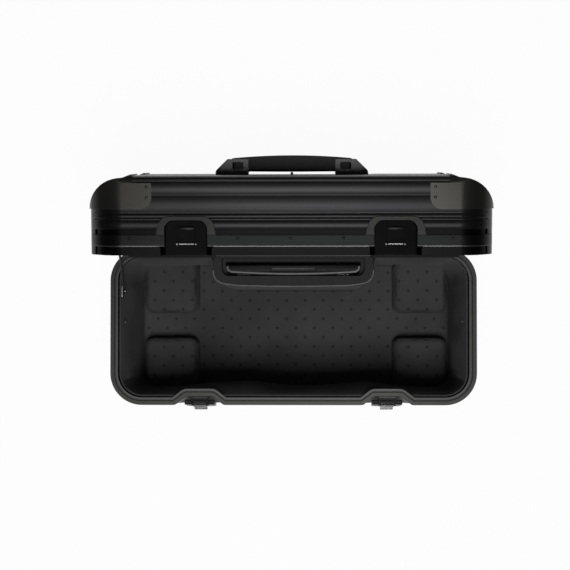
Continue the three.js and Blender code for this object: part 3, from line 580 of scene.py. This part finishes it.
def gridded(obj, step):
    """Cuts a mesh into even strips across each axis."""
    for number in range(3):
        low = min(v.co[number] for v in obj.data.vertices)
        high = max(v.co[number] for v in obj.data.vertices)
        normal = [0, 0, 0]
        normal[number] = 1
        count = max(1, round((high - low) / step))
        for i in range(1, count):
            place = [0, 0, 0]
            place[number] = low + (high - low) * i / count
            pick_all(obj)
            bpy.ops.mesh.bisect(plane_co=place, plane_no=normal)
            shut(obj)
    return obj


def base_liner():
    """Fabric lining: floor, walls and the cover of the telescope column."""
    bpy.ops.object.select_all(action="DESELECT")
    bpy.ops.mesh.primitive_plane_add(
        size=1, location=(0, (LINER_BACK + LINER_FRONT) / 2, FLOOR_Z)
    )
    obj = bpy.context.object
    obj.name = "base_liner"
    obj.scale = (2 * LINER_X, LINER_BACK - LINER_FRONT, 1)
    settled(obj)
    for place, normal in (
        ((COLUMN_X, 0, 0), (1, 0, 0)),
        ((-COLUMN_X, 0, 0), (1, 0, 0)),
        ((0, COLUMN_Y, 0), (0, 1, 0)),
    ):
        pick_all(obj)
        bpy.ops.mesh.bisect(plane_co=place, plane_no=normal)
        shut(obj)
    pick(obj, "FACE", lambda c, n: abs(c.x) < COLUMN_X and c.y > COLUMN_Y)
    bpy.ops.mesh.delete(type="FACE")
    bpy.ops.mesh.select_all(action="SELECT")
    bpy.ops.mesh.region_to_loop()
    bpy.ops.mesh.extrude_edges_move(
        TRANSFORM_OT_translate={"value": (0, 0, LINER_TOP - FLOOR_Z)}
    )
    shut(obj)

    def standing(x, y, near=0.001):
        return lambda a, b: (
            abs(a.z - b.z) > 0.1 and abs(abs(a.x) - x) < near and abs(a.y - y) < near
        )

    for x, y, radius, segments in (
        (LINER_X, LINER_FRONT, LINER_R, 7),
        (LINER_X, LINER_BACK, LINER_R - 0.001, 7),
        (COLUMN_X, COLUMN_Y, 0.022, 7),
        (COLUMN_X, LINER_BACK, 0.004, 2),
    ):
        pick(obj, "EDGE", standing(x, y))
        bpy.ops.mesh.bevel(offset=radius, segments=segments, affect="EDGES")
        shut(obj)
    gridded(obj, 0.0085)
    pick_all(obj)
    bpy.ops.mesh.remove_doubles(threshold=2e-5)
    shut(obj)

    # The cloth hangs a little slack between the rim and the floor.
    for vertex in obj.data.vertices:
        p = vertex.co
        rise = (p.z - FLOOR_Z) / (LINER_TOP - FLOOR_Z)
        if rise < 0.004:
            continue
        belly = math.sin(math.pi * rise ** 1.6) ** 0.8 if rise < 1 else 0
        span = max(0, 1 - (abs(p.x) / (LINER_X + 0.004)) ** 4)
        depth_share = (p.y - MIDDLE_Y) / (LINER_BACK - MIDDLE_Y)
        side_span = max(0, 1 - abs(depth_share) ** 3)
        fold = noise.noise(Vector((p.x * 13, p.y * 13, p.z * 3.2)))
        crease = noise.noise(Vector((p.x * 34 + 7, p.y * 34, p.z * 5)))
        inward = 0.0015 + 0.0055 * fold + 0.0026 * crease
        if p.y < LINER_FRONT + 0.02:
            p.y += belly * span * (0.0085 + inward)
        elif abs(p.x) > LINER_X - 0.02:
            p.x -= math.copysign(belly * side_span * (0.004 + inward), p.x)
        elif abs(p.x) > COLUMN_X + 0.012 and p.y > LINER_BACK - 0.01:
            p.y -= belly * (0.002 + inward)
        elif abs(p.x) < COLUMN_X and p.y > COLUMN_Y - 0.002:
            column_span = max(0, 1 - (abs(p.x) / COLUMN_X) ** 6)
            p.y -= belly * column_span * (0.0004 + inward * 0.2)
    modified(obj, "SUBSURF", levels=1, render_levels=1)
    modified(obj, "SOLIDIFY", thickness=0.0012, offset=-1)
    only(obj)
    bpy.ops.object.shade_smooth()
    fitted(obj, "case", WALL_CLOTH)
    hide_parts("base_lining")
    return obj


def caster_covers():
    """Padded fabric covers over the four wheel wells, inside the floor."""
    low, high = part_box("wheel_housing_front_left")
    place = (low + high) / 2
    first = block(
        "caster_cover_front_left",
        (place.x - COVER_HALF, place.y - COVER_HALF, FLOOR_Z - 0.0002),
        (place.x + COVER_HALF, place.y + COVER_HALF, COVER_TOP),
    )
    pick(first, "FACE", lambda c, n: n.z < -0.9)
    bpy.ops.mesh.delete(type="FACE")
    shut(first)
    pick(first, "EDGE", lambda a, b: abs(a.z - b.z) > 0.02)
    bpy.ops.mesh.bevel(offset=0.011, segments=5, affect="EDGES")
    shut(first)
    pick(first, "EDGE", lambda a, b: min(a.z, b.z) > COVER_TOP - 0.0002)
    bpy.ops.mesh.bevel(offset=0.0075, segments=4, affect="EDGES")
    shut(first)
    gridded(first, 0.006)
    pick_all(first)
    bpy.ops.mesh.remove_doubles(threshold=2e-5)
    shut(first)
    # The padding swells the sides, crowns the top and lies a little uneven.
    for vertex in first.data.vertices:
        p = vertex.co
        rise = (p.z - FLOOR_Z) / (COVER_TOP - FLOOR_Z)
        out = (p - place).xy / COVER_HALF
        crown = max(0, (1 - out.x ** 2) * (1 - out.y ** 2))
        belly = math.sin(math.pi * min(rise, 1))
        wave = noise.noise(Vector((p.x * 42, p.y * 42, p.z * 22)))
        swell = 0.0009 * belly + 0.0011 * wave * belly
        p.x += out.x * swell - out.x * 0.0016 * rise
        p.y += out.y * swell - out.y * 0.0016 * rise
        if rise > 0.97:
            dent = noise.noise(Vector((p.x * 55, p.y * 55, 3)))
            p.z += 0.0016 * crown + 0.0006 * dent
    modified(first, "SUBSURF", levels=1, render_levels=1)
    only(first)
    bpy.ops.object.shade_smooth()
    made = [first]
    for corner in ("front_right", "rear_left", "rear_right"):
        spot_low, spot_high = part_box(f"wheel_housing_{corner}")
        spot = (spot_low + spot_high) / 2
        move = (spot.x - place.x, spot.y - place.y, 0)
        made.append(copied(first, f"caster_cover_{corner}", move))
    for cover in made:
        fitted(cover, "case", WALL_CLOTH)


def lid_liner():
    """Fabric lining of the lid: its own hollow, softened."""
    source = frame["nodes"]["lid_lining"]
    obj = bpy.data.objects.new("lid_liner", source.data.copy())
    bpy.context.scene.collection.objects.link(obj)
    pick_all(obj)
    bpy.ops.mesh.remove_doubles(threshold=1e-5)
    bpy.ops.mesh.dissolve_limited(angle_limit=math.radians(0.6))
    shut(obj)
    softened(obj, 0.0016, 3, 30)
    fitted(obj, "lid", LID_CLOTH)
    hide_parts("lid_lining")
    return obj


base_liner()
caster_covers()
lid_liner()


# --------------------------------------------------------------- rim detail
BEAD_Y = FRONT_Y + 0.0082  # along the front of the case


def paint_bead_highlight(frame_copy):
    """Gives the rim's inner bead, up to its groove, a lighter colour: a painted highlight along the
    rounded bead.
    """
    mesh = frame_copy.data
    mesh.materials.append(BEAD_HIGHLIGHT.material)
    top = [f for f in mesh.polygons if f.center.z > RIM_Z - 0.0007 and f.normal.z > 0.25]
    users = {}
    for face in top:
        for index in face.vertices:
            users.setdefault(index, []).append(face)

    def off_bead(face):
        return abs(face.center.x) + abs(face.center.y - BEAD_Y) * 20

    seed = min(top, key=off_bead)
    found, queue = {seed.index}, [seed]
    while queue:
        for index in queue.pop().vertices:
            for face in users[index]:
                if face.index not in found:
                    found.add(face.index)
                    queue.append(face)
    for index in found:
        mesh.polygons[index].material_index = 1


paint_bead_highlight(bpy.data.objects["base_frame_made"])


# -------------------------------------------------------- small fastenings
HALF_D = (BACK_Y - FRONT_Y) / 2
RIVET_R = 0.0017
RIVET_H = 0.0009
RIVET_LIFT = 0.00005  # head above the rail it sits on
RAIL_RIVET_X = (-0.178, -0.058, 0.0, 0.058, 0.178)
RAIL_RIVET_Y = (-0.05, 0.0, 0.05)
FRONT_RIVET_Z = 0.0195  # above the rim, lid shut
SIDE_RIVET_Z = 0.0165
CAP_RIVET_X = 0.1585
CAP_RIVET_Z = (0.0757, 0.0642)
CAP_FACE = 0.0017  # outer face of a corner cap, ahead of the lid
SNAP_PLACE = Vector((0.2085, -0.042, 0.271))


def dome_rivet(name, radius, height):
    """A domed rivet head, its flat side on z = 0."""
    obj = disc(name, radius, height, (0, 0, height / 2), sides=16)
    pick(obj, "EDGE", lambda a, b: min(a.z, b.z) > height * 0.9)
    dome = min(height * 0.9, radius * 0.5)
    bpy.ops.mesh.bevel(offset=dome, segments=3, affect="EDGES")
    shut(obj)
    only(obj)
    bpy.ops.object.shade_smooth_by_angle(angle=math.radians(40))
    return obj


def stood(model, name, place, normal):
    """A copy of a fastening, stood on a face."""
    turn = Vector((0, 0, 1)).rotation_difference(Vector(normal)).to_matrix().to_4x4()
    return copied(model, name, matrix=Matrix.Translation(place) @ turn)


def stood_on_lid(model, name, place, normal, finish):
    """A copy of a fastening, stood on a face of the shut lid, then opened."""
    twin = stood(model, name, place, normal)
    return fitted(on_lid(twin), "lid", finish)


def lid_place(x, y, z):
    """A place on the shut lid: y from the case middle, z above the rim."""
    return Vector((x, MIDDLE_Y + y, RIM_Z + z))


def fastenings():
    """Rivets of the lid's rail and corner caps, and snaps for the lining."""
    rivet = dome_rivet("rivet_model", RIVET_R, RIVET_H)
    places = [
        (lid_place(x, -HALF_D - RIVET_LIFT, FRONT_RIVET_Z), (0, -1, 0))
        for x in RAIL_RIVET_X
    ]
    number = 0
    for number, (place, normal) in enumerate(places, 1):
        stood_on_lid(rivet, f"rail_rivet_{number}", place, normal, TRIM)
    for side, sign in SIDES:
        for y in RAIL_RIVET_Y:
            number += 1
            place = lid_place(sign * (HALF_W + RIVET_LIFT), y, SIDE_RIVET_Z)
            stood_on_lid(rivet, f"rail_rivet_{number}", place, (sign, 0, 0), TRIM)
        for row, z in enumerate(CAP_RIVET_Z, 1):
            place = lid_place(sign * CAP_RIVET_X, -HALF_D - CAP_FACE, z)
            stood_on_lid(rivet, f"cap_rivet_{side}_{row}", place, (0, -1, 0), CAP)
        place = SNAP_PLACE * Vector((sign, 1, 1))
        snap = stood(rivet, f"wall_snap_{side}", place, (-sign, 0, 0.2))
        fitted(snap, "case", STEEL)
    bpy.data.objects.remove(rivet)


fastenings()


# ---------------------------------------------------------------- latches
SHADE_HALF_W = 0.0233
SHADE_TOP = 0.0388  # above the rim, lid shut
SHADE_NEAR = 0.0004  # behind the lid's front face
SHADE_FAR = 0.0105
STRIKE_HALF_W = 0.0082


def latch_recess_shade(side, x):
    """A black sheet that lines a latch recess of the lid: painted shade where the recess lies in
    shadow.
    """
    obj = block(
        f"latch_recess_shade_{side}",
        lid_place(x - SHADE_HALF_W, -HALF_D + SHADE_NEAR, 0.0005),
        lid_place(x + SHADE_HALF_W, -HALF_D + SHADE_FAR, SHADE_TOP),
    )
    pick(obj, "FACE", lambda c, n: n.y < -0.5 or n.z < -0.5)
    bpy.ops.mesh.delete(type="FACE")
    shut(obj)
    pick(
        obj,
        "EDGE",
        lambda a, b: min(a.z, b.z) > RIM_Z + 0.03 and abs(a.x - b.x) < 1e-5,
    )
    bpy.ops.mesh.bevel(offset=0.0095, segments=5, affect="EDGES")
    shut(obj)
    modified(obj, "SOLIDIFY", thickness=0.0006, offset=-1)
    softened(obj, 0.0002, 1)
    return fitted(on_lid(obj), "lid", PAINTED_RECESS_SHADE)


def latch_strike(side, x):
    """Bright strike plate behind the bar that the hook catches."""
    obj = block(
        f"latch_strike_{side}",
        lid_place(x - STRIKE_HALF_W, -HALF_D + 0.0058, 0.0285),
        lid_place(x + STRIKE_HALF_W, -HALF_D + 0.0064, 0.0312),
    )
    softened(obj, 0.0002, 2)
    return fitted(on_lid(obj), "lid", TRIM)


for side, sign in SIDES:
    latch_recess_shade(side, sign * LATCH_X)
    latch_strike(side, sign * LATCH_X)


# ------------------------------------------------------- telescopic handle
FLANGE_HALF_W = 0.0985
FLANGE_Y = 0.001703  # front of the flange at its ends
FLANGE_STRAIGHT = FLANGE_HALF_W - 0.034  # where its rounded ends begin
PIPING_Z = 0.2863
HIGHLIGHT_HALF_W = 0.0765
HIGHLIGHT_Y = 0.0170
HIGHLIGHT_BOW = 0.0026
HIGHLIGHT_Z = 0.2846
BUTTON_LINE = ((-0.026, 0.0231, 0.2859), (0.026, 0.0231, 0.2859))


def rail_curve(name, points, radius, body):
    """A bright rounded strip along a line of points, made into a mesh."""
    curve = bpy.data.curves.new(name, "CURVE")
    curve.dimensions = "3D"
    curve.bevel_depth = radius
    curve.bevel_resolution = 3
    curve.use_fill_caps = True
    line = curve.splines.new("POLY")
    line.points.add(len(points) - 1)
    for spot, point in zip(line.points, points):
        spot.co = (*point, 1)
    obj = bpy.data.objects.new(name, curve)
    bpy.context.scene.collection.objects.link(obj)
    only(obj)
    bpy.ops.object.convert(target="MESH")
    bpy.ops.object.shade_smooth()
    return fitted(obj, body, PIPING_AND_HIGHLIGHT)


def bezier(a, b, c, d, steps):
    """Points of a flat curve that leaves a towards b and meets d from c."""
    made = []
    for i in range(steps + 1):
        t = i / steps
        u = 1 - t
        shares = (u ** 3, 3 * t * u ** 2, 3 * t * t * u, t ** 3)
        made.append(
            tuple(sum(w * p[k] for w, p in zip(shares, (a, b, c, d))) for k in (0, 1))
        )
    return made


def flange_line():
    """Front edge of the telescope flange, from left to right."""
    left = bezier(
        (-FLANGE_HALF_W, FLANGE_Y + 0.020),
        (-FLANGE_HALF_W, FLANGE_Y + 0.004),
        (-FLANGE_HALF_W + 0.010, FLANGE_Y + 0.003),
        (-FLANGE_STRAIGHT, FLANGE_Y + 0.0012),
        10,
    )
    right = [(-x, y) for x, y in reversed(left)]
    middle = []
    for i in range(1, 12):
        t = i / 12
        u = 1 - t
        bow = 0.0012 * (u ** 2 + t * t) - 0.0012 * t * u
        middle.append((FLANGE_STRAIGHT * (t * t - u ** 2), FLANGE_Y + bow))
    return left + middle + right


def grip_highlight_line():
    """Points of the painted highlight along the grip's rounded front edge, bowed and turned in at both
    ends.
    """
    bar = []
    for i in range(25):
        t = i / 12 - 1
        bar.append((HIGHLIGHT_HALF_W * t, HIGHLIGHT_Y + HIGHLIGHT_BOW * t * t))
    ends = [(0.0795, 0.0212), (0.0808, 0.0236), (0.0811, 0.0262)]
    left_end = [(-x, y) for x, y in reversed(ends)]
    return [(x, y, HIGHLIGHT_Z) for x, y in left_end + bar + ends]


piping = [(x, y - 0.0004, PIPING_Z) for x, y in flange_line()]
rail_curve("flange_piping", piping, 0.0008, "case")
# Painted highlight: a bright strip along the grip's rounded front edge.
rail_curve("tele_grip_highlight", grip_highlight_line(), 0.0016, "tele_handle")
rail_curve("tele_button_line", BUTTON_LINE, 0.0004, "tele_button")


# ------------------------------------------------ fabric hinge over the gap
GUSSET_X = 0.149  # middle of each strip
GUSSET_FLAT = (0.108, 0.030)
GUSSET_T = 0.0009
GUSSET_START = Vector((0, 0.0368, 0.2815))
GUSSET_RIM = Vector((0, 0.0374, 0.2893))
GUSSET_END = Vector((0, 0.0532, 0.3050))
RIM_SHARE = 0.35  # part of the strip that lies below the rim


def gusset(side, sign):
    """A strip of fabric that bridges the gap over one hinge."""
    bpy.ops.object.select_all(action="DESELECT")
    bpy.ops.mesh.primitive_grid_add(
        x_subdivisions=26, y_subdivisions=12, size=1, location=(sign * GUSSET_X, 0, 0)
    )
    obj = bpy.context.object
    obj.name = f"hinge_gusset_{side}"
    obj.scale = (GUSSET_FLAT[0], 1, 1)
    settled(obj)
    for vertex in obj.data.vertices:
        x = vertex.co.x
        along = vertex.co.y + 0.5
        if along < RIM_SHARE:
            place = GUSSET_START.lerp(GUSSET_RIM, along / RIM_SHARE)
        else:
            past = (along - RIM_SHARE) / (1 - RIM_SHARE)
            place = GUSSET_RIM.lerp(GUSSET_END, past)
            place.z -= 0.0022 * math.sin(math.pi * past)
            place.y += 0.0004 * noise.noise(Vector((x * 60, past * 3, 1)))
        vertex.co = (x, place.y, place.z)
    modified(obj, "SOLIDIFY", thickness=GUSSET_T, offset=0)
    only(obj)
    bpy.ops.object.shade_smooth()
    obj.data.materials.clear()
    obj.data.materials.append(STRAP.material)
    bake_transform(obj)


for side, sign in SIDES:
    gusset(side, sign)


# ------------------------------------------------------------- floor, light
FLOOR_WHITE = 0.95  # how far the floor is drawn as plain white
SKY_STRENGTH = 0.16
LAMPS = (  # name, place, size, watts
    ("key", (0.05, -0.5, 2.7), 0.55, 44),
    ("back", (0.5, 1.6, 1.9), 1.2, 2),
)
LAMP_TARGET = Vector((0, 0, 0.25))


def studio():
    """Plain pale floor that keeps the shadow, soft lamps and the camera."""
    bpy.ops.object.select_all(action="DESELECT")
    bpy.ops.mesh.primitive_plane_add(size=14, location=(0, 0, 0))
    floor = bpy.context.object
    floor.name = "studio_floor"
    finish = Finish("studio_floor", roughness=0.9, specular_ior_level=0.1)
    speckle = finish.grain(60, 2)
    pale = finish.colour(speckle, (0.86, 0.86, 0.86), (0.89, 0.89, 0.89))
    finish.show(base_color=pale)
    tree = finish.tree
    paths = tree.nodes.new("ShaderNodeLightPath")
    seen = Value(finish, paths.outputs["Is Camera Ray"])
    mirrored = Value(finish, paths.outputs["Is Glossy Ray"])
    through = Value(finish, paths.outputs["Is Transmission Ray"])
    glow = tree.nodes.new("ShaderNodeEmission")
    mix = tree.nodes.new("ShaderNodeMixShader")
    finish.feed(mix.inputs[0], (seen + mirrored + through).math("MINIMUM", 1) * FLOOR_WHITE)
    tree.links.new(finish.shader.outputs[0], mix.inputs[1])
    tree.links.new(glow.outputs[0], mix.inputs[2])
    tree.links.new(mix.outputs[0], tree.nodes["Material Output"].inputs[0])
    floor.data.materials.append(finish.material)

    world = bpy.data.worlds.new("studio")
    world.use_nodes = True
    bpy.context.scene.world = world
    tree = world.node_tree
    background = tree.nodes["Background"]
    background.inputs["Color"].default_value = (1, 1, 1, 1)
    paths = tree.nodes.new("ShaderNodeLightPath")
    seen = tree.nodes.new("ShaderNodeMath")
    seen.operation = "MAXIMUM"
    tree.links.new(paths.outputs["Is Camera Ray"], seen.inputs[0])
    tree.links.new(paths.outputs["Is Transmission Ray"], seen.inputs[1])
    strength = tree.nodes.new("ShaderNodeMapRange")
    strength.inputs["To Min"].default_value = SKY_STRENGTH
    strength.inputs["To Max"].default_value = 1.0
    tree.links.new(seen.outputs[0], strength.inputs["Value"])
    tree.links.new(strength.outputs[0], background.inputs["Strength"])

    for name, place, size, power in LAMPS:
        lamp = bpy.data.lights.new(name, "AREA")
        lamp.size = size
        lamp.energy = power
        holder = bpy.data.objects.new(name, lamp)
        bpy.context.scene.collection.objects.link(holder)
        holder.location = place
        aim = LAMP_TARGET - Vector(place)
        holder.rotation_euler = aim.to_track_quat("-Z", "Y").to_euler()

    camera = bpy.data.objects.new("camera", bpy.data.cameras.new("camera"))
    bpy.context.scene.collection.objects.link(camera)
    camera.location = (0.026, -0.035, 2.149)
    camera.rotation_euler = (math.radians(1.172), math.radians(1.112), 0)
    camera.data.lens = 95.68
    camera.data.sensor_width = 36
    bpy.context.scene.camera = camera
    bpy.context.scene.view_settings.view_transform = "Standard"


studio()
